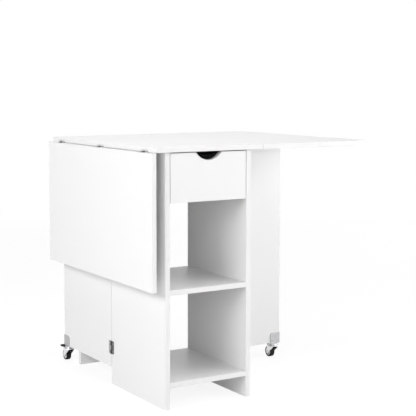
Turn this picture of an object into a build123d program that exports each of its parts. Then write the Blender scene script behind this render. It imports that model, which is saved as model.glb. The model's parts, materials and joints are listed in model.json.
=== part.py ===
from build123d import *
import math
import os

os.makedirs("parts", exist_ok=True)

# Driving dimensions in millimetres

# The top and its two leaves
table_height = 750
board = 15
top_width = 356
top_depth = 695
front_overhang = 12.5
side_overhang = 34
rear_overhang = 73.5
leaf_length = 390
leaf_gap = 1.0
edge_break = 0.8

# The carcass
carcass_depth = 335
bottom_shelf_height = 63
middle_shelf_height = 329
end_panel_gap = 2
bay_rail_width = 90
back_rail_width = 50
upper_stretcher_width = 90
lower_stretcher_width = 60

# The drawer
drawer_front_height = 141
drawer_side_gap = 2
drawer_top_gap = 3
finger_width = 86
finger_depth = 23
drawer_length = 285
drawer_wall = 12
drawer_wall_height = 100
drawer_lift = 14
bottom_thickness = 3
bottom_seat = 5
bottom_rise = 8
runner_width = 17
runner_thickness = 8.5
runner_length = 290
runner_setback = 20
runner_play = 0.5
box_side_gap = 3

# The leaf hinges, on the undersides of the top and the leaves
leaf_hinge_length = 38
leaf_hinge_plate = 26
leaf_hinge_barrel = 3.5
leaf_hinge_pin = 1.5
leaf_hinge_drop = 0.7
leaf_hinge_spacing = 278.5
leaf_notch_height = 6.5

# The gate hinges, on the outer faces of the side panels and the gates
gate_hinge_length = 40
gate_hinge_plate = 16
gate_hinge_barrel = 2.5
gate_hinge_pin = 1.2
gate_hinge_inset = 62
hinge_sheet = 1.2
pin_play = 0.05
knuckle_gap = 0.4
knuckle_flat_count = 12

# The gates
gate_seam = 1.5
gate_top_gap = 1
gate_end_inset = 1
hinge_clearance = 3

# The castors and their brackets
castor_height = 50
castor_trail = 19
castor_setback = 20
wheel_radius = 18
wheel_width = 16
wheel_clearance = 1.5
hub_radius = 13
hub_recess = 1
boss_radius = 5
axle_radius = 2.5
axle_head_radius = 4.5
axle_head_height = 1.2
crown_radius = 20.5
crown_clearance = 0.3
fork_sheet = 2
leg_eye = 6.5
race_radius = 14
race_height = 5.7
race_taper = 15
kingpin_radius = 4
kingpin_head_radius = 5.5
kingpin_head_height = 1.5
pedal_reach = 38
pedal_width = 34
pedal_sheet = 2.5
pedal_pin = 1.5
pedal_pin_depth = 10.5
pedal_pin_drop = 3.8
pedal_eye = 2.7
pedal_corner = 4
lever_nose = 14
lever_slope = 0.13
tread_slope = 0.21
tread_clearance = 3
rise_width = 1.8
lever_play = 0.5
foot_clearance = 0.7
running_play = 0.1
pin_flat_count = 16
bracket_width = 38
bracket_height = 36.5
bracket_foot = 30
bracket_sheet = 2
bracket_corner = 9.5

# Sizes that follow

carcass_width = top_width - 2 * side_overhang
wall_face = carcass_width / 2
bay_half = wall_face - board
panel_height = table_height - board
top_rear = top_depth - front_overhang
end_panel_front = top_rear - rear_overhang - board

leaf_axis = top_width / 2 + leaf_gap / 2
leaf_axis_height = panel_height - leaf_hinge_drop
hanging_leaf_inside = leaf_axis + leaf_hinge_drop
hanging_leaf_outside = hanging_leaf_inside + board
hanging_leaf_top = leaf_axis_height - leaf_gap / 2
leaf_hinge_middle = (top_rear - front_overhang) / 2
leaf_hinge_places = [leaf_hinge_middle + step * leaf_hinge_spacing for step in (-1, 0, 1)]
leaf_notch_depth = leaf_hinge_barrel - leaf_gap / 2 + 2 * knuckle_gap
leaf_notch_length = leaf_hinge_length + 2 * knuckle_gap

gate_axis = wall_face + gate_hinge_barrel
gate_axis_depth = carcass_depth + gate_seam / 2
gate_start = gate_axis_depth + gate_seam / 2
gate_end = top_rear - gate_end_inset
gate_bottom = castor_height + bracket_sheet
gate_top = panel_height - gate_top_gap

swivel_out = wall_face - board / 2
swivel_depth = gate_end - castor_setback

# The frame's origin is on the floor, in the middle of the outline of the table as it stands
left_reach = hanging_leaf_outside
right_reach = top_width / 2 + leaf_gap + leaf_length
rear_reach = max(top_rear, swivel_depth + pedal_reach)
middle_x = (left_reach - right_reach) / 2
front_y = (front_overhang - rear_reach) / 2

# Planes through the foot of the front edge, on the centre line of the carcass
plan = Plane(origin=(middle_x, front_y, 0))
side_view = Plane(origin=(middle_x, front_y, 0), x_dir=(0, 1, 0), z_dir=(1, 0, 0))
front_view = Plane(origin=(middle_x, front_y, 0), x_dir=(1, 0, 0), z_dir=(0, -1, 0))
centre_plane = Plane.YZ.offset(middle_x)

# Axes on which the leaf and the gate of the right-hand side have been swung out
right_leaf_axis = Axis((middle_x + leaf_axis, front_y, leaf_axis_height), (0, -1, 0))
right_gate_axis = Axis((middle_x + gate_axis, front_y + gate_axis_depth, 0), (0, 0, 1))


def rectangle(low_x, high_x, low_y, high_y, mode=Mode.ADD):
    """A rectangle between two limits each way, in the open sketch."""
    with Locations(((low_x + high_x) / 2, (low_y + high_y) / 2)):
        Rectangle(high_x - low_x, high_y - low_y, mode=mode)


def round_pin(radius, flat_count, mode=Mode.ADD):
    """A small round section, drawn with flats whose corners lie on the radius."""
    RegularPolygon(radius, flat_count, mode=mode)


def round_bore(radius, flat_count, mode=Mode.SUBTRACT):
    """A small round bore, drawn with flats that lie on the radius, so that a pin's corners clear it."""
    RegularPolygon(radius, flat_count, major_radius=False, mode=mode)


def save(piece, name):
    """Label a finished piece and write it under its name."""
    piece.part.label = name
    export_step(piece.part, f"parts/{name}.step")


def twin(left_piece, axis=None, angle=0):
    """The right-hand twin of a left-hand piece, swung about one of the right-hand axes."""
    copy = left_piece.part.mirror(centre_plane)
    if axis is not None:
        copy = copy.rotate(axis, angle)
    with BuildPart() as piece:
        add(copy)
    return piece


# Centre top, notched on both sides for the leaf hinge barrels
with BuildPart() as centre_top:
    with BuildSketch(plan.offset(panel_height)):
        rectangle(-top_width / 2, top_width / 2, -front_overhang, top_rear)
    extrude(amount=board)
    chamfer(centre_top.edges(), length=edge_break)
    with BuildSketch(plan.offset(panel_height)):
        for side in (-1, 1):
            with Locations(*[(side * top_width / 2, place) for place in leaf_hinge_places]):
                Rectangle(2 * leaf_notch_depth, leaf_notch_length)
    extrude(amount=leaf_notch_height, mode=Mode.SUBTRACT)
save(centre_top, "centre_top")

# Side panels, which stand on the floor and carry the top
with BuildPart() as left_side_panel:
    with BuildSketch(side_view.offset(-wall_face)):
        rectangle(0, carcass_depth, 0, panel_height)
    extrude(amount=board)
    chamfer(left_side_panel.edges().filter_by(Axis.Z), length=edge_break)
save(left_side_panel, "left_side_panel")
save(twin(left_side_panel), "right_side_panel")


def shelf(height):
    """A shelf between the side panels, with its front and back edges softened."""
    with BuildPart() as piece:
        with BuildSketch(plan.offset(height)):
            rectangle(-bay_half, bay_half, 0, carcass_depth)
        extrude(amount=board)
        chamfer(piece.edges().filter_by(Axis.X), length=edge_break)
    return piece


save(shelf(middle_shelf_height), "middle_shelf")
save(shelf(bottom_shelf_height), "bottom_shelf")


def cross_rail(low_z, high_z):
    """A rail on edge between the side panels, flush with their rear edges."""
    with BuildPart() as piece:
        with BuildSketch(front_view.offset(-carcass_depth)):
            rectangle(-bay_half, bay_half, low_z, high_z)
        extrude(amount=board)
    return piece


save(cross_rail(panel_height - bay_rail_width, panel_height), "drawer_bay_rail")
save(cross_rail(bottom_shelf_height - back_rail_width, bottom_shelf_height), "lower_back_rail")

# Rear end panel, between the folded gates
end_panel_half = bay_half - end_panel_gap
with BuildPart() as rear_end_panel:
    with BuildSketch(front_view.offset(-end_panel_front - board)):
        rectangle(-end_panel_half, end_panel_half, 0, panel_height)
    extrude(amount=board)
    chamfer(rear_end_panel.edges().filter_by(Axis.Z), length=edge_break)
save(rear_end_panel, "rear_end_panel")


def stretcher(low_z, high_z):
    """A board on edge along the centre line, from the carcass to the rear end panel."""
    with BuildPart() as piece:
        with BuildSketch(side_view.offset(-board / 2)):
            rectangle(carcass_depth, end_panel_front, low_z, high_z)
        extrude(amount=board)
    return piece


lower_stretcher_top = bottom_shelf_height + board
save(stretcher(panel_height - upper_stretcher_width, panel_height), "upper_stretcher")
save(stretcher(lower_stretcher_top - lower_stretcher_width, lower_stretcher_top), "lower_stretcher")

# Drawer front, with a round finger cut-out in its top edge and a groove for the bottom
front_half = bay_half - drawer_side_gap
front_top = panel_height - drawer_top_gap
front_bottom = front_top - drawer_front_height
finger_radius = ((finger_width / 2) ** 2 + finger_depth**2) / (2 * finger_depth)
box_half = bay_half - box_side_gap
box_bottom = front_bottom + drawer_lift
box_end = board + drawer_length
floor_bottom = box_bottom + bottom_rise
floor_top = floor_bottom + bottom_thickness
floor_half = box_half - drawer_wall + bottom_seat
groove_play = running_play

with BuildPart() as drawer_front:
    with BuildSketch(front_view.offset(-board)):
        rectangle(-front_half, front_half, front_bottom, front_top)
        with Locations((0, front_top - finger_depth + finger_radius)):
            Circle(finger_radius, mode=Mode.SUBTRACT)
    extrude(amount=board)
    chamfer(drawer_front.faces().sort_by(Axis.Y)[0].edges(), length=edge_break)
    with BuildSketch(plan.offset(floor_bottom - groove_play)):
        rectangle(
            -floor_half - groove_play,
            floor_half + groove_play,
            board - bottom_seat - groove_play,
            board,
        )
    extrude(amount=bottom_thickness + 2 * groove_play, mode=Mode.SUBTRACT)
save(drawer_front, "drawer_front")

# Drawer sides, grooved outside for the runners and inside for the bottom
runner_height = box_bottom + drawer_wall_height / 2
runner_groove_half = runner_width / 2 + runner_play
runner_groove_depth = runner_thickness - box_side_gap + runner_play
with BuildPart() as drawer_left_side:
    with BuildSketch(front_view.offset(-box_end)):
        rectangle(-box_half, -box_half + drawer_wall, box_bottom, box_bottom + drawer_wall_height)
        rectangle(
            -box_half,
            -box_half + runner_groove_depth,
            runner_height - runner_groove_half,
            runner_height + runner_groove_half,
            Mode.SUBTRACT,
        )
        rectangle(
            -floor_half - groove_play,
            -box_half + drawer_wall,
            floor_bottom - groove_play,
            floor_top + groove_play,
            Mode.SUBTRACT,
        )
    extrude(amount=drawer_length)
save(drawer_left_side, "drawer_left_side")
save(twin(drawer_left_side), "drawer_right_side")

# Drawer back, between the sides on the drawer's bottom
with BuildPart() as drawer_back:
    with BuildSketch(front_view.offset(-box_end)):
        rectangle(
            -box_half + drawer_wall,
            box_half - drawer_wall,
            floor_top,
            box_bottom + drawer_wall_height,
        )
    extrude(amount=drawer_wall)
save(drawer_back, "drawer_back")

# Drawer bottom, slid into the grooves of the front and the sides
with BuildPart() as drawer_bottom:
    with BuildSketch(plan.offset(floor_bottom)):
        rectangle(-floor_half, floor_half, board - bottom_seat, box_end)
    extrude(amount=bottom_thickness)
save(drawer_bottom, "drawer_bottom")

# Runners, round-ended strips on the insides of the side panels
with BuildPart() as left_drawer_runner:
    with BuildSketch(side_view.offset(-bay_half)):
        with Locations((runner_setback + runner_length / 2, runner_height)):
            SlotOverall(runner_length, runner_width)
    extrude(amount=runner_thickness)
save(left_drawer_runner, "left_drawer_runner")
save(twin(left_drawer_runner), "right_drawer_runner")


def knuckles(length):
    """The three knuckle spans along a hinge pin, measured from its middle."""
    span = (length - 2 * knuckle_gap) / 3
    step = span + knuckle_gap
    return [(middle - span / 2, middle + span / 2) for middle in (-step, 0, step)]


def hinge_plates(pins, length, width, barrel, pin, surface, own, other):
    """Hinge plates on a board's surface, each rolled round its pin at its own knuckles.

    Each pin plane has its z along the pin, its x along the board and its y into the board.
    """
    bore = pin + pin_play
    with BuildPart() as plates:
        for pin_plane in pins:
            with BuildSketch(pin_plane.offset(-length / 2)):
                rectangle(0, width, surface - hinge_sheet, surface)
            extrude(amount=length)
            with BuildSketch(*[pin_plane.offset(low - knuckle_gap) for low, high in other]):
                round_bore(barrel + knuckle_gap, knuckle_flat_count, Mode.ADD)
            extrude(amount=other[0][1] - other[0][0] + 2 * knuckle_gap, mode=Mode.SUBTRACT)
            with BuildSketch(*[pin_plane.offset(low) for low, high in own]):
                round_pin(barrel, knuckle_flat_count)
            extrude(amount=own[0][1] - own[0][0])
            with BuildSketch(pin_plane.offset(-length / 2)):
                round_bore(bore, knuckle_flat_count, Mode.ADD)
            extrude(amount=length, mode=Mode.SUBTRACT)
    return plates


def hinge_pins(pins, length, pin):
    """The pins of a row of hinges."""
    with BuildPart() as row:
        with BuildSketch(*[pin_plane.offset(-length / 2) for pin_plane in pins]):
            round_pin(pin, knuckle_flat_count)
        extrude(amount=length)
    return row


def both_sides(left_piece):
    """A left-hand piece together with its mirror image."""
    with BuildPart() as pair:
        add(left_piece.part)
        mirror(about=centre_plane)
    return pair


# Leaf hinges: two end knuckles on the top plate and one in the middle on the leaf plate
low_knuckle, middle_knuckle, high_knuckle = knuckles(leaf_hinge_length)
leaf_pin_x = middle_x - leaf_axis
leaf_pin_points = [(leaf_pin_x, front_y + place, leaf_axis_height) for place in leaf_hinge_places]
top_pins = [Plane(origin=point, x_dir=(1, 0, 0), z_dir=(0, -1, 0)) for point in leaf_pin_points]
leaf_pins = [Plane(origin=point, x_dir=(0, 0, -1), z_dir=(0, 1, 0)) for point in leaf_pin_points]
leaf_hinge_sizes = (
    leaf_hinge_length,
    leaf_hinge_plate,
    leaf_hinge_barrel,
    leaf_hinge_pin,
    leaf_hinge_drop,
)
end_knuckles = [low_knuckle, high_knuckle]
top_plates = hinge_plates(top_pins, *leaf_hinge_sizes, end_knuckles, [middle_knuckle])
leaf_plates = hinge_plates(leaf_pins, *leaf_hinge_sizes, [middle_knuckle], end_knuckles)
save(both_sides(top_plates), "leaf_hinge_top_plates")
save(both_sides(hinge_pins(top_pins, leaf_hinge_length, leaf_hinge_pin)), "leaf_hinge_pins")
save(leaf_plates, "left_leaf_hinge_plates")
save(twin(leaf_plates, right_leaf_axis, 90), "right_leaf_hinge_plates")

# Leaves: the left one hangs, the right one is raised
with BuildPart() as left_leaf:
    with BuildSketch(side_view.offset(-hanging_leaf_outside)):
        rectangle(-front_overhang, top_rear, hanging_leaf_top - leaf_length, hanging_leaf_top)
    extrude(amount=board)
    chamfer(left_leaf.edges(), length=edge_break)
    with BuildSketch(side_view.offset(-hanging_leaf_inside)):
        with Locations(*[(place, hanging_leaf_top) for place in leaf_hinge_places]):
            Rectangle(leaf_notch_length, 2 * leaf_notch_depth)
    extrude(amount=-leaf_notch_height, mode=Mode.SUBTRACT)
save(left_leaf, "left_leaf")
save(twin(left_leaf, right_leaf_axis, 90), "right_leaf")

# Gates, with their top edges cut down where they swing under the leaf hinges
gate_notch_height = leaf_axis_height - leaf_hinge_barrel - knuckle_gap
sweep_out = leaf_axis + leaf_hinge_plate - gate_axis
near_sweep = math.hypot(sweep_out, abs(leaf_hinge_middle - gate_axis_depth) + leaf_hinge_length / 2)
far_low = leaf_hinge_places[2] - leaf_hinge_length / 2 - gate_axis_depth
far_high = leaf_hinge_places[2] + leaf_hinge_length / 2 - gate_axis_depth
far_sweep_start = math.sqrt(far_low**2 - (gate_hinge_barrel + board) ** 2)
far_sweep_end = math.hypot(sweep_out, far_high)
near_notch = (gate_start, gate_axis_depth + near_sweep + hinge_clearance)
far_notch = (
    gate_axis_depth + far_sweep_start - hinge_clearance,
    gate_axis_depth + far_sweep_end + hinge_clearance,
)
with BuildPart() as left_gate:
    with BuildSketch(side_view.offset(-wall_face)):
        rectangle(gate_start, gate_end, gate_bottom, gate_top)
        for start, end in (near_notch, far_notch):
            rectangle(start, end, gate_notch_height, gate_top, Mode.SUBTRACT)
    extrude(amount=board)
    chamfer(left_gate.edges().filter_by(Axis.Z).group_by(Axis.Y)[-1], length=edge_break)
save(left_gate, "left_gate")
save(twin(left_gate, right_gate_axis, -90), "right_gate")

# Gate hinges: two end knuckles on the wall plate and one in the middle on the gate plate
low_knuckle, middle_knuckle, high_knuckle = knuckles(gate_hinge_length)
gate_hinge_heights = (gate_bottom + gate_hinge_inset, gate_top - gate_hinge_inset)
gate_pin_x = middle_x - gate_axis
gate_pin_y = front_y + gate_axis_depth
gate_pin_points = [(gate_pin_x, gate_pin_y, height) for height in gate_hinge_heights]
wall_pins = [Plane(origin=point, x_dir=(0, -1, 0), z_dir=(0, 0, 1)) for point in gate_pin_points]
gate_pins = [Plane(origin=point, x_dir=(0, 1, 0), z_dir=(0, 0, -1)) for point in gate_pin_points]
gate_hinge_sizes = (
    gate_hinge_length,
    gate_hinge_plate,
    gate_hinge_barrel,
    gate_hinge_pin,
    gate_hinge_barrel,
)
end_knuckles = [low_knuckle, high_knuckle]
wall_plates = hinge_plates(wall_pins, *gate_hinge_sizes, end_knuckles, [middle_knuckle])
gate_plates = hinge_plates(gate_pins, *gate_hinge_sizes, [middle_knuckle], end_knuckles)
save(both_sides(wall_plates), "gate_hinge_wall_plates")
save(both_sides(hinge_pins(wall_pins, gate_hinge_length, gate_hinge_pin)), "gate_hinge_pins")
save(gate_plates, "left_gate_hinge_plates")
save(twin(gate_plates, right_gate_axis, -90), "right_gate_hinge_plates")

# Castor bracket: a flange on the gate's outer face and a foot folded under the gate
with BuildPart() as left_castor_bracket:
    with BuildSketch(side_view.offset(-wall_face - bracket_sheet)) as flange:
        rectangle(gate_end - bracket_width, gate_end, castor_height, castor_height + bracket_height)
        fillet(flange.vertices().group_by(Axis.Y)[-1].sort_by(Axis.X)[0], radius=bracket_corner)
    extrude(amount=bracket_sheet)
    with BuildSketch(plan.offset(castor_height)):
        rectangle(
            -wall_face - bracket_sheet,
            -wall_face - bracket_sheet + bracket_foot,
            gate_end - bracket_width,
            gate_end,
        )
        with Locations((-swivel_out, swivel_depth)):
            round_bore(kingpin_radius, pin_flat_count)
    extrude(amount=bracket_sheet)
save(left_castor_bracket, "left_castor_bracket")
save(twin(left_castor_bracket, right_gate_axis, -90), "right_castor_bracket")

# Castor planes: the floor under the swivel axis, and side views at the swivel axis and the axle
swivel_point = (middle_x - swivel_out, front_y + swivel_depth, 0)
castor_plan = Plane(origin=swivel_point)
castor_side = Plane(origin=swivel_point, x_dir=(0, 1, 0), z_dir=(1, 0, 0))
axle_point = (middle_x - swivel_out, front_y + swivel_depth + castor_trail, wheel_radius)
axle_side = Plane(origin=axle_point, x_dir=(0, 1, 0), z_dir=(1, 0, 0))

# The right castor is the left one, carried to the end of the gate that is swung out
right_swivel_x = middle_x + gate_axis + swivel_depth - gate_axis_depth
right_swivel_y = front_y + gate_axis_depth + gate_axis - swivel_out
castor_step = (right_swivel_x - swivel_point[0], right_swivel_y - swivel_point[1], 0)


def save_castor_pair(piece, name):
    """Write a castor piece at the left gate and its copy at the right one."""
    with BuildPart() as copy:
        add(piece.part.moved(Location(castor_step)))
    save(piece, f"left_{name}")
    save(copy, f"right_{name}")


race_bottom = castor_height - race_height
crown_top = race_bottom - crown_clearance
crown_bottom = crown_top - fork_sheet
leg_inside = wheel_width / 2 + wheel_clearance
leg_outside = leg_inside + fork_sheet

# Swivel race, a shallow cone under the bracket's foot
with BuildPart() as race:
    with BuildSketch(castor_plan.offset(castor_height)):
        Circle(race_radius)
    extrude(amount=-race_height, taper=race_taper)
    with BuildSketch(castor_plan.offset(race_bottom)):
        round_bore(kingpin_radius, pin_flat_count, Mode.ADD)
    extrude(amount=race_height, mode=Mode.SUBTRACT)
save_castor_pair(race, "castor_race")

# Kingpin, a rivet through the bracket's foot, the race and the fork's crown
head_bottom = crown_bottom - running_play - kingpin_head_height
with BuildPart() as kingpin:
    with BuildSketch(castor_plan.offset(head_bottom)):
        round_pin(kingpin_head_radius, pin_flat_count)
    extrude(amount=kingpin_head_height)
    with BuildSketch(castor_plan.offset(head_bottom)):
        round_pin(kingpin_radius, pin_flat_count)
    extrude(amount=castor_height + bracket_sheet - head_bottom)
save_castor_pair(kingpin, "castor_kingpin")

# Fork: a round crown with two legs that taper to the axle
pedal_pin_height = crown_bottom - pedal_pin_drop
leg_chord = 2 * math.sqrt(crown_radius**2 - leg_outside**2)
with BuildPart() as fork:
    with BuildSketch(castor_plan.offset(crown_bottom)):
        Circle(crown_radius)
        round_bore(kingpin_radius + running_play, pin_flat_count)
    extrude(amount=fork_sheet)
    with BuildSketch(castor_side.offset(leg_inside), castor_side.offset(-leg_outside)):
        with Locations((castor_trail, wheel_radius)):
            Circle(leg_eye)
        with Locations((0, crown_bottom + fork_sheet / 2)):
            Rectangle(leg_chord, fork_sheet)
        make_hull()
        with Locations((castor_trail, wheel_radius)):
            round_bore(axle_radius, pin_flat_count)
        with Locations((pedal_pin_depth, pedal_pin_height)):
            round_bore(pedal_pin, knuckle_flat_count)
    extrude(amount=fork_sheet)
save_castor_pair(fork, "castor_fork")

# Axle, a rivet with a low head outside each leg
with BuildPart() as axle:
    with BuildSketch(axle_side.offset(-leg_outside)):
        round_pin(axle_radius, pin_flat_count)
    extrude(amount=2 * leg_outside)
    low_head = -leg_outside - axle_head_height
    with BuildSketch(axle_side.offset(leg_outside), axle_side.offset(low_head)):
        round_pin(axle_head_radius, pin_flat_count)
    extrude(amount=axle_head_height)
save_castor_pair(axle, "castor_axle")

# Wheel hub: a boss that runs on the axle and a disc under the tyre
boss_half = leg_inside - crown_clearance
hub_half = wheel_width / 2 - hub_recess
with BuildPart() as hub:
    with BuildSketch(axle_side.offset(-hub_half)):
        Circle(hub_radius)
    extrude(amount=2 * hub_half)
    with BuildSketch(axle_side.offset(-boss_half)):
        round_pin(boss_radius, pin_flat_count)
    extrude(amount=2 * boss_half)
    with BuildSketch(axle_side.offset(-boss_half)):
        round_bore(axle_radius + running_play, pin_flat_count, Mode.ADD)
    extrude(amount=2 * boss_half, mode=Mode.SUBTRACT)
save_castor_pair(hub, "castor_hub")

# Tyre, a ring round the hub
tyre_half = wheel_width / 2
with BuildPart() as tyre:
    with BuildSketch(axle_side.offset(-tyre_half)):
        Circle(wheel_radius)
        Circle(hub_radius, mode=Mode.SUBTRACT)
    extrude(amount=wheel_width)
save_castor_pair(tyre, "castor_tyre")

# Pedal pin, through both legs and the pedal
with BuildPart() as pin_of_pedal:
    with BuildSketch(castor_side.offset(-leg_outside)):
        with Locations((pedal_pin_depth, pedal_pin_height)):
            round_pin(pedal_pin, knuckle_flat_count)
    extrude(amount=2 * leg_outside)
save_castor_pair(pin_of_pedal, "castor_pedal_pin")


def lever_line(depth):
    """The height of the lever's middle line at a distance behind the swivel axis."""
    return pedal_pin_height + lever_slope * (depth - pedal_pin_depth)


def tread_line(depth):
    """The height of the tread's top at a distance behind the swivel axis."""
    return castor_height - foot_clearance - tread_slope * (pedal_reach - depth)


# Brake pedal: a lever between the legs, over the tyre, that rises behind the crown to a wide tread
tread_start = crown_radius + tread_clearance
lever_end = crown_radius + rise_width
with BuildPart() as pedal:
    with BuildSketch(castor_side):
        with BuildLine():
            Polyline(
                (-lever_nose, lever_line(-lever_nose) + pedal_sheet / 2),
                (crown_radius, lever_line(crown_radius) + pedal_sheet / 2),
                (tread_start, tread_line(tread_start)),
                (pedal_reach, tread_line(pedal_reach)),
                (pedal_reach, tread_line(pedal_reach) - pedal_sheet),
                (tread_start + rise_width, tread_line(tread_start + rise_width) - pedal_sheet),
                (lever_end, lever_line(lever_end) - pedal_sheet / 2),
                (-lever_nose, lever_line(-lever_nose) - pedal_sheet / 2),
                close=True,
            )
        make_face()
        with Locations((pedal_pin_depth, pedal_pin_height)):
            round_pin(pedal_eye, knuckle_flat_count)
            round_bore(pedal_pin + running_play, knuckle_flat_count)
    extrude(amount=leg_inside - lever_play, both=True)
    with BuildSketch(castor_side):
        with BuildLine():
            Polyline(
                (tread_start, tread_line(tread_start)),
                (pedal_reach, tread_line(pedal_reach)),
                (pedal_reach, tread_line(pedal_reach) - pedal_sheet),
                (tread_start, tread_line(tread_start) - pedal_sheet),
                close=True,
            )
        make_face()
    extrude(amount=pedal_width / 2, both=True)
    fillet(pedal.edges().filter_by(Axis.Z).group_by(Axis.Y)[-1], radius=pedal_corner)
save_castor_pair(pedal, "castor_brake_pedal")
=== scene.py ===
"""Finishes, fine metalwork and studio of the rolling folding table."""

import json
import logging
import math
from dataclasses import dataclass
from enum import Enum
from typing import Any

import bmesh
import bpy
from mathutils import Matrix, Vector


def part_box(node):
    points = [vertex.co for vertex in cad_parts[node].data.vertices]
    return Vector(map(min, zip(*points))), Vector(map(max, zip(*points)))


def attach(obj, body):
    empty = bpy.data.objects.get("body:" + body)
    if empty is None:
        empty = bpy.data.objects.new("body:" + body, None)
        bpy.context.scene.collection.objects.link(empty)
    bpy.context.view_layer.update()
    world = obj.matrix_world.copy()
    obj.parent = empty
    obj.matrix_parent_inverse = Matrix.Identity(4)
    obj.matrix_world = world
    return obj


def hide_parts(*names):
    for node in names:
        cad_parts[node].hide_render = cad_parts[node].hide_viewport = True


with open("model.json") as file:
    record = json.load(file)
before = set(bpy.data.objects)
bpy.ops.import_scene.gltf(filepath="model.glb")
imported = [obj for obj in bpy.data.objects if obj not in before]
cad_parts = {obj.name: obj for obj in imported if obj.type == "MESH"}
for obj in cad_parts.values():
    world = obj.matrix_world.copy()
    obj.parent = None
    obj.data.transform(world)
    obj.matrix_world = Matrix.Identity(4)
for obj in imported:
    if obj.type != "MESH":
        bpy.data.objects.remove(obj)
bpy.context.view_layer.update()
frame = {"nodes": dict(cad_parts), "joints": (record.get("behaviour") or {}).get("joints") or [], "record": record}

log = logging.getLogger("folding_table")
Colour = tuple[float, float, float, float]
Point = tuple[float, float]
Seat = tuple[Vector, Vector]
MM = 0.001
X, Y, Z = Vector((1, 0, 0)), Vector((0, 1, 0)), Vector((0, 0, 1))


def grey(level: float, warmth: float = 0.0) -> Colour:
    """A near-neutral colour of a linear brightness, redder than blue by a share of it."""
    return (level * (1 + warmth / 2), level, level * (1 - warmth / 2), 1.0)


def clamp(value: float) -> float:
    """A value kept between 0 and 1."""
    return min(1.0, max(0.0, value))


def spaced(start: float, end: float, steps: int) -> list[float]:
    """Evenly spaced places from a start to an end, both among them."""
    return [start + (end - start) * step / steps for step in range(steps + 1)]


def arc(centre: Point, radius: float, start: float, end: float, steps: int) -> list[Point]:
    """Points along a circular arc between two angles in degrees, its ends among them."""
    turns = [math.radians(angle) for angle in spaced(start, end, steps)]
    return [(centre[0] + radius * math.cos(t), centre[1] + radius * math.sin(t)) for t in turns]


def dome(radius: float, foot: float, rise: float, steps: int = 6) -> list[Point]:
    """A low dome's profile from its foot to its top, as radius and height."""
    quarter = arc((0, 0), 1.0, 0, 90, steps)[:-1]
    return [(radius * out, foot + rise * up) for out, up in quarter] + [(0, foot + rise)]


def mirrored(half: list[Point]) -> list[Point]:
    """An outline of an upper half and its mirror image below."""
    return half + [(out, -up) for out, up in reversed(half)]


def joint_place(name: str) -> Vector:
    """The point in which a joint has its axis."""
    return Vector(next(joint["pos_m"] for joint in frame["joints"] if joint["name"] == name))


def axes_at(origin: Vector, along_x: Vector, along_z: Vector) -> Matrix:
    """The local axes that have a given origin, X axis and Z axis."""
    along_y = along_z.cross(along_x)
    return Matrix.Translation(origin) @ Matrix((along_x, along_y, along_z)).transposed().to_4x4()


class Value:
    """A socket of a node tree that takes part in Python expressions."""

    def __init__(self, graph: "Graph", socket: Any) -> None:
        """Wraps a socket of a graph."""
        self.graph = graph
        self.socket = socket

    def port(self, name: str | int) -> "Value":
        """Another output of the same node."""
        return Value(self.graph, self.socket.node.outputs[name])

    def __add__(self, other: "float | Value") -> "Value":
        """This value plus another."""
        return self.graph.maths("ADD", self, other)

    __radd__ = __add__

    def __sub__(self, other: "float | Value") -> "Value":
        """This value less another."""
        return self.graph.maths("SUBTRACT", self, other)

    def __rsub__(self, other: float) -> "Value":
        """A number less this value."""
        return self.graph.maths("SUBTRACT", other, self)

    def __mul__(self, other: "float | Value") -> "Value":
        """This value times another."""
        return self.graph.maths("MULTIPLY", self, other)

    __rmul__ = __mul__

    def __truediv__(self, other: "float | Value") -> "Value":
        """This value divided by another."""
        return self.graph.maths("DIVIDE", self, other)

    def __abs__(self) -> "Value":
        """This value without its sign."""
        return self.graph.maths("ABSOLUTE", self)

    def least(self, other: "float | Value") -> "Value":
        """The smaller of this value and another."""
        return self.graph.maths("MINIMUM", self, other)

    def most(self, other: "float | Value") -> "Value":
        """The larger of this value and another."""
        return self.graph.maths("MAXIMUM", self, other)

    def ramp(self, start: float, end: float) -> "Value":
        """A smooth step of this value, from 0 at a start to 1 at an end."""
        inputs = {"Value": self, "From Min": start, "From Max": end}
        return self.graph.add("ShaderNodeMapRange", {"interpolation_type": "SMOOTHSTEP"}, inputs)


class Graph:
    """A node tree that one method fills."""

    def __init__(self, tree: bpy.types.NodeTree) -> None:
        """Starts with an empty tree."""
        self.tree = tree
        tree.nodes.clear()

    def add(
        self,
        kind: str,
        settings: dict[str, Any] | None = None,
        inputs: dict[str | int, Any] | None = None,
        output: str | int = 0,
    ) -> Value:
        """Adds a node.

        Args:
            kind: the node's type.
            settings: its properties, set first.
            inputs: values or links of its sockets, by name or place.
            output: the output that is wanted.

        Returns:
            That output, or an empty value where the node has none.
        """
        node = self.tree.nodes.new(kind)
        for name, setting in (settings or {}).items():
            setattr(node, name, setting)
        for name, given in (inputs or {}).items():
            for item in given if isinstance(given, list) else [given]:
                if isinstance(item, Value):
                    self.tree.links.new(item.socket, node.inputs[name])
                else:
                    node.inputs[name].default_value = item
        return Value(self, node.outputs[output] if len(node.outputs) else None)

    def maths(self, operation: str, *terms: float | Value) -> Value:
        """The result of a Math node on its terms."""
        return self.add("ShaderNodeMath", {"operation": operation}, dict(enumerate(terms)))


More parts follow.
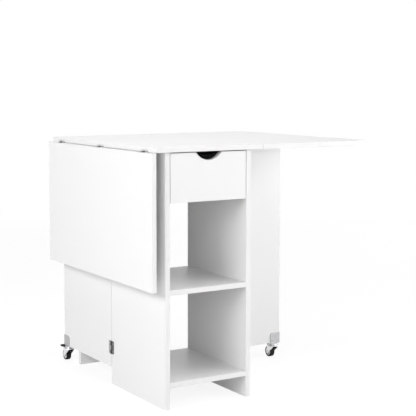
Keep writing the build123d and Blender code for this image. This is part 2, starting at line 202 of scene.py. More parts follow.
class Surface(Graph):
    """A material's node tree with its object coordinates."""

    def __init__(self, name: str) -> None:
        """Makes the material and reads the object's own coordinates.

        Args:
            name: the material's name.
        """
        self.material = bpy.data.materials.new(name)
        self.material.use_nodes = True
        super().__init__(self.material.node_tree)
        self.place = self.add("ShaderNodeTexCoord", None, None, "Object")

    def axes(self) -> tuple[Value, Value, Value]:
        """The three coordinates one by one."""
        x = self.add("ShaderNodeSeparateXYZ", None, {0: self.place})
        return x, x.port(1), x.port(2)

    def stretched(self, stretch: tuple[float, float, float]) -> Value:
        """The coordinates, squeezed along each axis by a factor."""
        return self.add("ShaderNodeMapping", None, {"Vector": self.place, "Scale": stretch})

    def radius(self, centre: Vector, axis: int) -> Value:
        """The distance from a line along one of the axes.

        Args:
            centre: a point of the line.
            axis: 0, 1 or 2, the axis that the line runs along.

        Returns:
            The distance in metres.
        """
        axes = self.axes()
        across, up = (axes[other] - centre[other] for other in range(3) if other != axis)
        return self.maths("SQRT", across * across + up * up)

    def noise(self, pitch: float, detail: float, place: Value | None = None) -> Value:
        """Cloudy noise from 0 to 1, on the object's own coordinates if no others are given."""
        inputs = {"Vector": place or self.place, "Scale": 1 / pitch, "Detail": detail}
        return self.add("ShaderNodeTexNoise", None, inputs)

    def blend(self, low: Any, high: Any, share: Value) -> Value:
        """A colour between two others, by a share of the second."""
        return self.add("ShaderNodeMix", {"data_type": "RGBA"}, {0: share, 6: low, 7: high}, 2)

    def drift(self, level: float, spread: float, warmth: float, share: Value) -> Value:
        """A grey that goes a share of its level to either side."""
        dim, bright = (grey(level * (1 + sign * spread), warmth) for sign in (-1, 1))
        return self.blend(dim, bright, share)

    def close(
        self,
        inputs: dict[str, Any],
        height: Value,
        depth: float,
        strength: float,
    ) -> bpy.types.Material:
        """Ends the tree in a Principled shader with a relief.

        Args:
            inputs: the shader's own sockets.
            height: the relief, from 0 to 1.
            depth: the relief's height in metres.
            strength: how strongly it turns the normal.

        Returns:
            The finished material.
        """
        relief = {"Height": height, "Distance": depth, "Strength": strength}
        normal = self.add("ShaderNodeBump", None, relief)
        shader = self.add("ShaderNodeBsdfPrincipled", None, {**inputs, "Normal": normal})
        self.add("ShaderNodeOutputMaterial", None, {"Surface": shader})
        return self.material


@dataclass(frozen=True)
class BoardFinish:
    """White melamine on a board whose edges carry a glued band."""

    level: float = 0.80
    warmth: float = 0.004
    tone: float = 0.012
    tone_pitch: float = 0.21
    band: float = 1.1 * MM
    seam: float = 0.14 * MM
    seam_tone: float = 0.16
    seam_warmth: float = 0.012
    roughness: float = 0.44
    band_roughness: float = 0.34
    smear: float = 0.07
    smear_pitch: float = 0.035
    pearl_pitch: float = 1.3 * MM
    pearl_height: float = 0.04 * MM
    pearl_strength: float = 0.12

    def make(self, name: str, low: Vector, high: Vector) -> bpy.types.Material:
        """Makes the material of one board.

        Args:
            name: the board's name.
            low: the board's lowest corner.
            high: its highest corner.

        Returns:
            The material.
        """
        surface = Surface(f"{name}_melamine")
        axes, size = surface.axes(), high - low
        thin = min(range(3), key=lambda axis: size[axis])
        broad = [axis for axis in range(3) if axis != thin]
        edges = [(axes[axis] - low[axis]).least(high[axis] - axes[axis]) for axis in broad]
        inset = edges[0].least(edges[1])
        face = inset.ramp(self.band - self.seam, self.band + self.seam)
        seam = 1 - abs(inset - self.band).ramp(0.0, self.seam)
        cloud = surface.noise(self.tone_pitch, detail=3.0)
        board = surface.drift(self.level, self.tone, self.warmth, cloud)
        shade = grey(self.level * (1 - self.seam_tone), self.seam_warmth)
        rough = self.band_roughness + face * (self.roughness - self.band_roughness)
        rough = rough + (surface.noise(self.smear_pitch, detail=4.0) - 0.5) * self.smear
        inputs = {"Base Color": surface.blend(board, shade, seam), "Roughness": rough}
        height = surface.noise(self.pearl_pitch, detail=1.0) * face - seam
        return surface.close(inputs, height, self.pearl_height, self.pearl_strength)


@dataclass(frozen=True)
class HardboardFinish:
    """A thin white-lacquered fibreboard, with its fibres faintly raised."""

    level: float = 0.80
    warmth: float = 0.02
    tone: float = 0.05
    fibre_share: float = 0.6
    fibre_pitch: float = 0.7 * MM
    fibre_stretch: float = 6.0
    fleck_pitch: float = 6.3 * MM
    roughness: float = 0.55
    roughness_spread: float = 0.12
    fibre_height: float = 0.06 * MM
    fibre_strength: float = 0.25

    def make(self, name: str) -> bpy.types.Material:
        """Makes the material.

        Args:
            name: its name.

        Returns:
            The material.
        """
        surface = Surface(name)
        along = surface.stretched((1.0, 1 / self.fibre_stretch, 1.0))
        fibres = surface.noise(self.fibre_pitch, detail=4.0, place=along)
        flecks = surface.noise(self.fleck_pitch, detail=3.0)
        mix = fibres * self.fibre_share + flecks * (1 - self.fibre_share)
        colour = surface.drift(self.level, self.tone, self.warmth, mix)
        rough = self.roughness + (flecks - 0.5) * self.roughness_spread
        inputs = {"Base Color": colour, "Roughness": rough}
        return surface.close(inputs, fibres, self.fibre_height, self.fibre_strength)


class Grain(Enum):
    """The way a steel sheet was rolled or brushed, as squeezes along X, Y and Z."""

    ALONG_Y = (1.0, 0.04, 1.0)
    ALONG_Z = (1.0, 1.0, 0.04)
    NONE = (1.0, 1.0, 1.0)


@dataclass(frozen=True)
class SteelFinish:
    """Plated steel, with the mottle of its plating and fine rolling marks."""

    level: float
    warmth: float = -0.02
    mottle: float = 0.16
    mottle_pitch: float = 3.0 * MM
    spangle_share: float = 0.5
    spangle_softness: float = 0.6
    cloud_share: float = 0.6
    cloud_scale: float = 4.0
    roughness: float = 0.30
    roughness_spread: float = 0.16
    grain: Grain = Grain.NONE
    grain_pitch: float = 0.25 * MM
    grain_height: float = 0.012 * MM
    grain_strength: float = 0.35
    grain_share: float = 0.5

    def make(self, name: str) -> bpy.types.Material:
        """Makes the material.

        Args:
            name: its name.

        Returns:
            The material.
        """
        surface = Surface(name)
        cells = {"Vector": surface.place, "Scale": 1 / self.mottle_pitch}
        cells["Smoothness"] = self.spangle_softness
        spangle = surface.add("ShaderNodeTexVoronoi", {"feature": "SMOOTH_F1"}, cells)
        cloud = surface.noise(self.cloud_scale * self.mottle_pitch, detail=3.0)
        marks = surface.noise(self.grain_pitch, detail=3.0, place=surface.stretched(self.grain.value))
        mix = spangle * self.spangle_share + cloud * self.cloud_share
        colour = surface.drift(self.level, self.mottle, self.warmth, mix)
        wear = cloud - 0.5 + (marks - 0.5) * self.grain_share
        rough = self.roughness + wear * self.roughness_spread
        inputs = {"Base Color": colour, "Metallic": 1.0, "Roughness": rough}
        return surface.close(inputs, marks, self.grain_height, self.grain_strength)


@dataclass(frozen=True)
class PlasticFinish:
    """Moulded plastic with the fine spark-eroded texture of its mould."""

    level: float
    warmth: float = 0.0
    tone: float = 0.05
    flow_pitch: float = 6.3 * MM
    roughness: float = 0.36
    roughness_spread: float = 0.10
    texture_pitch: float = 0.45 * MM
    texture_height: float = 0.02 * MM
    texture_strength: float = 0.30
    shine: float = 0.4

    def make(self, name: str) -> bpy.types.Material:
        """Makes the material.

        Args:
            name: its name.

        Returns:
            The material.
        """
        surface = Surface(name)
        flow = surface.noise(self.flow_pitch, detail=2.0)
        colour = surface.drift(self.level, self.tone, self.warmth, flow)
        rough = self.roughness + (flow - 0.5) * self.roughness_spread
        inputs = {"Base Color": colour, "Roughness": rough, "Specular IOR Level": self.shine}
        texture = surface.noise(self.texture_pitch, detail=2.0)
        return surface.close(inputs, texture, self.texture_height, self.texture_strength)


@dataclass(frozen=True)
class RubberFinish:
    """The black rubber of a tyre on a given axle, a little dusty where it rolls."""

    axle: Vector
    level: float = 0.005
    dust_level: float = 0.020
    dust_warmth: float = 0.06
    dust_start: float = 16.4 * MM
    dust_end: float = 18.2 * MM
    dust_pitch: float = 1.6 * MM
    dust_middle: float = 0.3
    roughness: float = 0.52
    roughness_spread: float = 0.20
    pore_pitch: float = 0.3 * MM
    pore_height: float = 0.02 * MM
    pore_strength: float = 0.35
    shine: float = 0.12

    def make(self, name: str) -> bpy.types.Material:
        """Makes the material.

        Args:
            name: its name.

        Returns:
            The material.
        """
        surface = Surface(name)
        rolled = surface.radius(self.axle, 0).ramp(self.dust_start, self.dust_end)
        dust = rolled * surface.noise(self.dust_pitch, detail=3.0)
        colour = surface.blend(grey(self.level), grey(self.dust_level, self.dust_warmth), dust)
        rough = self.roughness + (dust - self.dust_middle) * self.roughness_spread
        inputs = {"Base Color": colour, "Roughness": rough, "Specular IOR Level": self.shine}
        pores = surface.noise(self.pore_pitch, detail=2.0)
        return surface.close(inputs, pores, self.pore_height, self.pore_strength)


Finish = SteelFinish | PlasticFinish | RubberFinish


@dataclass
class Boards:
    """The white boards of the table, which keep their CAD shapes."""

    finish: BoardFinish = BoardFinish()
    hardboard: HardboardFinish = HardboardFinish()

    def dress(self) -> None:
        """Gives each board the finish of its own outline."""
        for row in frame["record"]["subparts"]:
            node, slot = row["node"], row["material_slot"]
            if slot == "white_board":
                material = self.finish.make(node, *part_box(node))
            elif slot == "white_hardboard":
                material = self.hardboard.make(node)
            else:
                continue
            frame["nodes"][node].material_slots[0].material = material
            log.info("%s: %s", node, material.name)


def add_object(name: str, data: Any) -> bpy.types.Object:
    """Adds an object to the scene.

    Args:
        name: its name.
        data: its mesh, lamp or camera.

    Returns:
        The object.
    """
    added = bpy.data.objects.new(name, data)
    bpy.context.scene.collection.objects.link(added)
    return added


def flatten(piece: bpy.types.Object) -> None:
    """Replaces a piece's mesh by what its modifiers make of it.

    Args:
        piece: the piece.
    """
    bpy.context.view_layer.update()
    evaluated = piece.evaluated_get(bpy.context.evaluated_depsgraph_get())
    mesh = bpy.data.meshes.new_from_object(evaluated)
    piece.modifiers.clear()
    piece.data = mesh


@dataclass(frozen=True)
class Role:
    """What a piece rides on, and the CAD node that it stands for, if there is one."""

    body: str
    slot: str
    node: str = ""

    def give(self, piece: bpy.types.Object) -> None:
        """Ties a piece in its place to its body and hides the CAD node that it stands for.

        Args:
            piece: the piece, in its final form.
        """
        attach(piece, self.body)
        if self.node:
            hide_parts(self.node)
        log.info("%s: %d faces on %s", piece.name, len(piece.data.polygons), self.body)


class Shape:
    """A mesh under construction, in metres."""

    sharp: float = math.radians(34)
    merged: float = 0.001 * MM
    rounds: int = 2
    wall_rounding: float = 1 / 7

    def __init__(self) -> None:
        """Starts with no faces."""
        self.mesh = bmesh.new()

    def grid(
        self, rows: list[list[Vector]], place: Matrix, closed: bool = False, capped: bool = False
    ) -> None:
        """Adds a sheet of four-sided faces through rows of points.

        Args:
            rows: the points, the same number in each row.
            place: the local axes in the table's frame.
            closed: whether each row's end meets its start.
            capped: whether the first and last rows are faces too.
        """
        verts = [[self.mesh.verts.new(place @ point) for point in row] for row in rows]
        count = len(rows[0])
        for low, high in zip(verts, verts[1:]):
            for here in range(count if closed else count - 1):
                after = (here + 1) % count
                self.mesh.faces.new((low[here], low[after], high[after], high[here]))
        if capped:
            self.mesh.faces.new(verts[0][::-1])
            self.mesh.faces.new(verts[-1])

    def revolve(self, profile: list[Point], steps: int, place: Matrix) -> "Shape":
        """Turns a closed profile about the local Z axis.

        Args:
            profile: its corners, as radius and height.
            steps: how many faces go round.
            place: the local axes in the table's frame.

        Returns:
            This shape.
        """
        turns = spaced(0, math.tau, steps)[:-1]
        rings = []
        for radius, height in profile:
            if radius == 0:
                rings.append([self.mesh.verts.new(place @ Vector((0, 0, height)))] * steps)
                continue
            ring = [Vector((radius * math.cos(t), radius * math.sin(t), height)) for t in turns]
            rings.append([self.mesh.verts.new(place @ point) for point in ring])
        for low, high in zip(rings, rings[1:] + rings[:1]):
            for here in range(steps):
                after = (here + 1) % steps
                corners = dict.fromkeys((low[here], low[after], high[after], high[here]))
                if len(corners) > 2:
                    self.mesh.faces.new(tuple(corners))
        return self

    def prism(self, outline: list[Point], depth: float, place: Matrix) -> None:
        """Extrudes an outline in the local XY plane along the local Z axis."""
        rows = [[Vector((x, y, z)) for x, y in outline] for z in (0, depth)]
        self.grid(rows, place, closed=True, capped=True)

    def even(self) -> None:
        """Merges what coincides and turns all faces outwards."""
        bmesh.ops.remove_doubles(self.mesh, verts=self.mesh.verts, dist=self.merged)
        bmesh.ops.recalc_face_normals(self.mesh, faces=self.mesh.faces)

    def bevel(self, width: float) -> None:
        """Rounds all edges that are sharp.

        Args:
            width: how far the rounding reaches from the edge.
        """
        self.even()
        solid = [edge for edge in self.mesh.edges if len(edge.link_faces) == 2]
        sharp = [edge for edge in solid if edge.calc_face_angle() > self.sharp]
        settings = {"segments": self.rounds, "profile": 0.5, "affect": "EDGES", "clamp_overlap": True}
        bmesh.ops.bevel(self.mesh, geom=sharp, offset=width, **settings)

    def finish(
        self, name: str, role: Role, material: bpy.types.Material, wall: float = 0.0
    ) -> None:
        """Turns the mesh into a piece of the table.

        Args:
            name: the piece's name.
            role: its body, slot and CAD node.
            material: its finish.
            wall: the thickness that an open sheet is given inwards.
        """
        self.even()
        mesh = bpy.data.meshes.new(name)
        self.mesh.to_mesh(mesh)
        self.mesh.free()
        mesh.materials.append(material)
        piece = add_object(name, mesh)
        if wall:
            sheet = piece.modifiers.new("sheet", "SOLIDIFY")
            sheet.thickness = wall
            sheet.offset = -1
            sheet.use_even_offset = True
            rounding = piece.modifiers.new("rounding", "BEVEL")
            rounding.width = wall * self.wall_rounding
            rounding.segments = self.rounds
            rounding.angle_limit = self.sharp
            flatten(piece)
        piece.data.shade_smooth()
        piece.data.set_sharp_from_angle(angle=self.sharp)
        piece.modifiers.new("even_normals", "WEIGHTED_NORMAL").keep_sharp = True
        flatten(piece)
        role.give(piece)


class Side(Enum):
    """The table's two sides. The right leaf and gate stand a quarter turn out."""

    LEFT = "left"
    RIGHT = "right"

    def mirror(self) -> Matrix:
        """The map from the left-hand side to this side of the carcass.

        Returns:
            The map.
        """
        if self is Side.LEFT:
            return Matrix.Identity(4)
        middle = (joint_place("left_leaf_hinge").x + joint_place("right_leaf_hinge").x) / 2
        return Matrix.Translation(2 * middle * X) @ Matrix.Scale(-1, 4, X)

    def swing(self, joint: str, axis: Vector) -> Matrix:
        """The map from the left-hand side to this side's swinging board.

        Args:
            joint: the name of the right-hand hinge.
            axis: the axis of the quarter turn by which the right-hand board is out.

        Returns:
            The map.
        """
        if self is Side.LEFT:
            return Matrix.Identity(4)
        pin = Matrix.Translation(joint_place(joint))
        return pin @ Matrix.Rotation(math.radians(90), 4, axis) @ pin.inverted() @ self.mirror()

    def leaf(self) -> Matrix:
        """The map to this side's leaf."""
        return self.swing("right_leaf_hinge", -Y)

    def gate(self) -> Matrix:
        """The map to this side's gate."""
        return self.swing("right_gate_hinge", -Z)


@dataclass(frozen=True)
class Screws:
    """Cross-recessed screw heads, which Geometry Nodes set on points."""

    head_radius: float = 2.6 * MM
    head_height: float = 0.6 * MM
    recess_length: float = 3.0 * MM
    recess_width: float = 0.8 * MM
    recess_depth: float = 0.45 * MM
    facets: int = 28
    seed: int = 7
    steel: SteelFinish = SteelFinish(level=0.42, roughness=0.32, mottle_pitch=1.0 * MM)

    def lengths(self) -> dict[str, float]:
        """The lengths that the tree is given, by the names of its inputs."""
        return {
            "Head Radius": self.head_radius,
            "Head Height": self.head_height,
            "Recess Length": self.recess_length,
            "Recess Width": self.recess_width,
            "Recess Depth": self.recess_depth,
        }

    def tree(self) -> bpy.types.NodeTree:
        """Builds the tree that sets a head on each point, along its facing.

        Returns:
            The tree.
        """
        tree = bpy.data.node_groups.new("screw_heads", "GeometryNodeTree")
        graph = Graph(tree)
        sockets = {"Points": "Geometry", "Seed": "Int", "Finish": "Material"}
        sockets.update(dict.fromkeys(self.lengths(), "Float"))
        for name, kind in sockets.items():
            tree.interface.new_socket(name, in_out="INPUT", socket_type=f"NodeSocket{kind}")
        tree.interface.new_socket("Heads", in_out="OUTPUT", socket_type="NodeSocketGeometry")
        given = graph.add("NodeGroupInput")
        radius, height, length, width, depth = (given.port(name) for name in self.lengths())
        ball_sizes = {"Segments": self.facets, "Rings": self.facets // 2, "Radius": radius}
        ball = graph.add("GeometryNodeMeshUVSphere", None, ball_sizes)
        squash = graph.add("ShaderNodeCombineXYZ", None, {0: 1.0, 1: 1.0, 2: height / radius})
        domed = graph.add("GeometryNodeTransform", None, {"Geometry": ball, "Scale": squash})
        top = graph.add("ShaderNodeCombineXYZ", None, {0: 0.0, 1: 0.0, 2: height})
        bars = []
        for across, along in ((length, width), (width, length)):
            size = graph.add("ShaderNodeCombineXYZ", None, {0: across, 1: along, 2: 2 * depth})
            bar = graph.add("GeometryNodeMeshCube", None, {"Size": size})
            moved = {"Geometry": bar, "Translation": top}
            bars.append(graph.add("GeometryNodeTransform", None, moved))
        cutting = {"operation": "DIFFERENCE", "solver": "EXACT"}
        head = graph.add("GeometryNodeMeshBoolean", cutting, {"Mesh 1": domed, "Mesh 2": bars})
        named = {"data_type": "FLOAT_VECTOR"}
        facing = graph.add("GeometryNodeInputNamedAttribute", named, {"Name": "facing"})
        upright = graph.add("FunctionNodeAlignRotationToVector", {"axis": "Z"}, {"Vector": facing})
        chance = {2: 0.0, 3: math.tau, "Seed": given.port("Seed")}
        angle = graph.add("FunctionNodeRandomValue", {"data_type": "FLOAT"}, chance, 1)
        twist = graph.add("FunctionNodeAxisAngleToRotation", None, {"Axis": Z, "Angle": angle})
        turning = {"Rotation": upright, "Rotate By": twist}
        turned = graph.add("FunctionNodeRotateRotation", {"rotation_space": "LOCAL"}, turning)
        spread = {"Points": given.port("Points"), "Instance": head, "Rotation": turned}
        heads = graph.add("GeometryNodeInstanceOnPoints", None, spread)
        real = graph.add("GeometryNodeRealizeInstances", None, {"Geometry": heads})
        dressing = {"Geometry": real, "Material": given.port("Finish")}
        dressed = graph.add("GeometryNodeSetMaterial", None, dressing)
        graph.add("NodeGroupOutput", None, {0: dressed})
        return tree

    def drive(self, name: str, body: str, seats: list[Seat]) -> None:
        """Sets screw heads as one piece.

        Args:
            name: the piece's name.
            body: the CAD body that it moves with.
            seats: each head's seat and the way in which it faces.
        """
        mesh = bpy.data.meshes.new(name)
        mesh.from_pydata([seat for seat, _ in seats], [], [])
        facing = mesh.attributes.new("facing", "FLOAT_VECTOR", "POINT")
        for row, (_, way) in zip(facing.data, seats):
            row.vector = way
        piece = add_object(name, mesh)
        tree = self.tree()
        modifier = piece.modifiers.new("screw_heads", "NODES")
        modifier.node_group = tree
        given = {"Seed": self.seed, "Finish": self.steel.make(f"{name}_zinc"), **self.lengths()}
        for socket in tree.interface.items_tree:
            if socket.in_out == "INPUT" and socket.name in given:
                modifier[socket.identifier] = given[socket.name]
        flatten(piece)
        piece.data.shade_smooth()
        piece.data.set_sharp_from_angle(angle=Shape.sharp)
        Role(body, "zinc_steel").give(piece)


class Knuckles(Enum):
    """Which of a hinge's three knuckles a plate has, by their places along the pin."""

    ENDS = (-1, 1)
    MIDDLE = (0,)


@dataclass(frozen=True)
class Hinge:
    """One pattern of butt hinge, rolled from sheet steel.

    A plate lies at the surface distance from the pin and starts at the root distance
    from it. The rolled sheet's edge meets its barrel at the seam angle.
    """

    length: float
    width: float
    barrel: float
    pin: float
    surface: float
    root: float
    seam_angle: float
    sheet: float = 1.2 * MM
    play: float = 0.05 * MM
    gap: float = 0.4 * MM
    corner: float = 2.5 * MM
    seam: float = 0.25 * MM
    rounding: float = 0.18 * MM
    pin_end: float = 0.35
    steps: int = 36
    corner_steps: int = 6
    screw_share: float = 0.62
    screw_spread: float = 0.29

    def spans(self, knuckles: Knuckles) -> list[Point]:
        """The knuckles' spans along the pin.

        Args:
            knuckles: which ones.

        Returns:
            Where each starts and ends.
        """
        knuckle = (self.length - 2 * self.gap) / 3
        middles = [place * (knuckle + self.gap) for place in knuckles.value]
        return [(middle - knuckle / 2, middle + knuckle / 2) for middle in middles]

    def outline(self, knuckles: Knuckles) -> list[Point]:
        """A plate's outline.

        Args:
            knuckles: which ones the plate has.

        Returns:
            Its corners, as distance from the pin and place along it.
        """
        half, clear = self.length / 2, self.barrel + self.gap
        middle = self.spans(Knuckles.MIDDLE)[0][1]
        if knuckles is Knuckles.ENDS:
            near = [(self.root, half), (self.root, middle + self.gap), (clear, middle + self.gap)]
        else:
            near = [(clear, half), (clear, middle), (self.root, middle)]
        far, edge = self.width - self.corner, half - self.corner
        low = arc((far, -edge), self.corner, -90, 0, self.corner_steps)
        high = arc((far, edge), self.corner, 0, 90, self.corner_steps)
        return mirrored(near) + low + high

    def plate(self, shape: Shape, place: Matrix, knuckles: Knuckles) -> None:
        """Adds one plate with its knuckles.

        Args:
            shape: the mesh that it joins.
            place: its axes, with X along the board, Y into it and Z along the pin.
            knuckles: which ones it has.
        """
        flat = Matrix.Translation((0, self.surface, 0)) @ Matrix.Rotation(math.radians(90), 4, X)
        shape.prism(self.outline(knuckles), self.sheet, place @ flat)
        half_seam = math.degrees(self.seam / self.barrel) / 2
        first, last = self.seam_angle + half_seam, self.seam_angle - half_seam + 360
        ring = arc((0, 0), self.barrel, first, last, self.steps)
        ring += arc((0, 0), self.pin + self.play, last, first, self.steps)
        for low, high in self.spans(knuckles):
            shape.prism(ring, high - low, place @ Matrix.Translation((0, 0, low)))

    def rod(self, shape: Shape, place: Matrix) -> None:
        """Adds the hinge pin, its ends rounded.

        Args:
            shape: the mesh that it joins.
            place: its axes, with Z along the pin.
        """
        half, edge = self.length / 2, self.pin_end * self.pin
        soft = edge / 3
        end = [(self.pin, half - edge), (self.pin - soft, half - soft), (self.pin - edge, half), (0, half)]
        shape.revolve(mirrored(end), self.steps, place)

    def seats(self, place: Matrix) -> list[Seat]:
        """The seats of a plate's two screws.

        Args:
            place: the plate's axes.

        Returns:
            Each seat and the way in which it faces.
        """
        across, face = self.screw_share * self.width, self.surface - self.sheet
        along = self.screw_spread * self.length
        return [(place @ Vector((across, face, z)), place.to_3x3() @ -Y) for z in (-along, along)]


@dataclass(frozen=True)
class Hinges:
    """The leaf hinges and gate hinges, with their screws. Their plates are all one steel; the leaf plates and the
    wall plates are darker copies of it, as painted shade.
    """

    leaf: Hinge = Hinge(
        length=38 * MM,
        width=26 * MM,
        barrel=3.5 * MM,
        pin=1.5 * MM,
        surface=0.7 * MM,
        root=2.6 * MM,
        seam_angle=-30,
    )
    gate: Hinge = Hinge(
        length=40 * MM,
        width=16 * MM,
        barrel=2.5 * MM,
        pin=1.2 * MM,
        surface=2.5 * MM,
        root=0.0,
        seam_angle=18,
    )
    leaf_count: int = 3
    gate_count: int = 2
    screws: Screws = Screws()
    top_steel: SteelFinish = SteelFinish(level=0.40, roughness=0.42, grain=Grain.ALONG_Y)
    # the leaf plates: the top plates' steel darkened, painted shade of the hinge's shaded half
    leaf_steel: SteelFinish = SteelFinish(level=0.06, roughness=0.42, grain=Grain.ALONG_Y)
    # the wall plates: the gate plates' steel darkened, painted shade of the hinge's shaded half
    wall_steel_painted_shade: SteelFinish = SteelFinish(level=0.16, mottle=0.08, roughness=0.38, grain=Grain.ALONG_Z)
    gate_steel: SteelFinish = SteelFinish(level=0.34, mottle=0.08, roughness=0.38, grain=Grain.ALONG_Z)
    pin_steel: SteelFinish = SteelFinish(level=0.20, roughness=0.30)

    def middles(self, board: str, pattern: Hinge, axis: int, count: int) -> list[Vector]:
        """The middles of the pins on the left-hand side, evenly spread.

        Args:
            board: the board that they carry, leaf or gate.
            pattern: the hinge's sizes.
            axis: 0, 1 or 2, the axis that the pins lie along.
            count: how many there are.

        Returns:
            The middles.
        """
        low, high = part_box(f"{board}_hinge_pins")
        half = pattern.length / 2
        places = []
        for along in spaced(low[axis] + half, high[axis] - half, count - 1):
            places.append(joint_place(f"left_{board}_hinge"))
            places[-1][axis] = along
        return places

    def leaf_middles(self) -> list[Vector]:
        """The middles of the left-hand leaf hinges' pins."""
        return self.middles("leaf", self.leaf, 1, self.leaf_count)

    def build(self) -> None:
        """Builds the plates, pins and screws of both sides."""
        leaves, gates = self.leaf_middles(), self.middles("gate", self.gate, 2, self.gate_count)
        top = [side.mirror() @ axes_at(place, X, -Y) for side in Side for place in leaves]
        wall = [side.mirror() @ axes_at(place, -Y, Z) for side in Side for place in gates]
        ends, middle = Knuckles.ENDS, Knuckles.MIDDLE
        self.plates("leaf_hinge_top_plates", "carcass", self.leaf, top, self.top_steel, ends)
        self.plates("gate_hinge_wall_plates", "carcass", self.gate, wall, self.wall_steel_painted_shade, ends)
        self.pins("leaf_hinge_pins", self.leaf, top)
        self.pins("gate_hinge_pins", self.gate, wall)
        for side in Side:
            body = f"{side.value}_leaf"
            places = [side.leaf() @ axes_at(place, -Z, Y) for place in leaves]
            self.plates(f"{body}_hinge_plates", body, self.leaf, places, self.leaf_steel, middle)
            body = f"{side.value}_gate"
            places = [side.gate() @ axes_at(place, Y, -Z) for place in gates]
            self.plates(f"{body}_hinge_plates", body, self.gate, places, self.gate_steel, middle)

    def plates(
        self,
        node: str,
        body: str,
        pattern: Hinge,
        places: list[Matrix],
        finish: SteelFinish,
        knuckles: Knuckles,
    ) -> None:
        """Builds the plates that stand for a node, and their screws.

        Args:
            node: the CAD node.
            body: the body that it rides on.
            pattern: the hinge's sizes.
            places: the plates' axes.
            finish: their steel.
            knuckles: which ones they have.
        """
        shape = Shape()
        for place in places:
            pattern.plate(shape, place, knuckles)
        shape.bevel(pattern.rounding)
        role = Role(body, "hinge_steel", node)
        shape.finish(f"{node}_rolled", role, finish.make(f"{node}_steel"))
        seats = [seat for place in places for seat in pattern.seats(place)]
        self.screws.drive(f"{node}_screws", body, seats)

    def pins(self, node: str, pattern: Hinge, places: list[Matrix]) -> None:
        """Builds the pins that stand for a node of the carcass.

        Args:
            node: the CAD node.
            pattern: the hinge's sizes.
            places: the pins' axes.
        """
        shape = Shape()
        for place in places:
            pattern.rod(shape, place)
        role = Role("carcass", "pin_steel", node)
        shape.finish(f"{node}_turned", role, self.pin_steel.make(f"{node}_steel"))


@dataclass
class HangingEdge:
    """The band on the hanging leaf's hinged edge, which nearly closes its seam with the top.

    The raised leaf has none, because it would meet the top when that leaf is lifted.
    """

    thickness: float = 0.7 * MM
    clearance: float = 0.6 * MM
    rounding: float = 0.15 * MM
    finish: BoardFinish = BoardFinish()

    def build(self, hinges: Hinges) -> None:
        """Builds the band in lengths that leave room for the hinges.

        Args:
            hinges: the table's hinges.
        """
        name = Side.LEFT.value + "_leaf"
        low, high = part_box(name)
        reach = hinges.leaf.length / 2 + self.clearance
        stops = [middle.y + sign * reach for middle in hinges.leaf_middles() for sign in (-1, 1)]
        stops = [low.y, *stops, high.y]
        shape = Shape()
        for start, end in zip(stops[::2], stops[1::2]):
            outline = [(low.x, start), (high.x, start), (high.x, end), (low.x, end)]
            shape.prism(outline, self.thickness, Matrix.Translation(high.z * Z))
        shape.bevel(self.rounding)
        material = self.finish.make(f"{name}_edge", low, high)
        shape.finish(f"{name}_edge_band", Role(name, "white_board"), material)


@dataclass
class CastorBracket:
    """The folded plate that carries a castor under its gate."""

    side: Side
    corner: float = 9.5 * MM
    corner_steps: int = 8
    sheet: float = 2.0 * MM
    bend: float = 2.6 * MM
    bend_steps: int = 5
    screw_rise: float = 11.0 * MM
    screw_inset: float = 9.0 * MM
    screws: Screws = Screws(head_radius=3.4 * MM, recess_length=3.8 * MM)
    steel: SteelFinish = SteelFinish(level=0.46, roughness=0.36, grain=Grain.ALONG_Z)

    def build(self) -> None:
        """Builds the bracket and its three screws."""
        low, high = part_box("left_castor_bracket")
        move = self.side.gate()
        top = arc((low.y + self.corner, high.z - self.corner), self.corner, 90, 180, self.corner_steps)
        fold = arc((low.x + self.bend, low.z + self.bend), self.bend, 180, 270, self.bend_steps)
        stations = [(low.x, start, z) for start, z in top] + [(x, low.y, z) for x, z in fold]
        stations.append((high.x, low.y, low.z))
        rows = [[Vector((x, y, z)) for y in (start, high.y)] for x, start, z in stations]
        shape = Shape()
        shape.grid(rows, move)
        name, body = f"{self.side.value}_castor_bracket", f"{self.side.value}_gate"
        material = self.steel.make(f"{name}_zinc")
        shape.finish(f"{name}_folded", Role(body, "zinc_steel", name), material, self.sheet)
        places = [((low.y + high.y) / 2, high.z - self.screw_rise)]
        for y in (low.y + self.screw_inset, high.y - self.screw_inset):
            places.append((y, low.z + self.screw_rise))
        out = move.to_3x3() @ -X
        seats = [(move @ Vector((low.x, y, z)), out) for y, z in places]
        self.screws.drive(f"{name}_screws", body, seats)


class Part(Enum):
    """A castor's parts, each with its CAD name, form, body, material slot and material."""

    RACE = ("race", "cup", "gate", "zinc_steel", "zinc")
    KINGPIN = ("kingpin", "rivet", "gate", "pin_steel", "steel")
    FORK = ("fork", "pressed", "fork", "zinc_steel", "zinc")
    AXLE = ("axle", "rivet", "fork", "pin_steel", "steel")
    PEDAL_PIN = ("pedal_pin", "turned", "fork", "pin_steel", "steel")
    HUB = ("hub", "moulded", "wheel", "hub_plastic", "plastic")
    TYRE = ("tyre", "moulded", "wheel", "tyre_rubber", "rubber")
    PEDAL = ("brake_pedal", "moulded", "pedal", "pedal_plastic", "plastic")


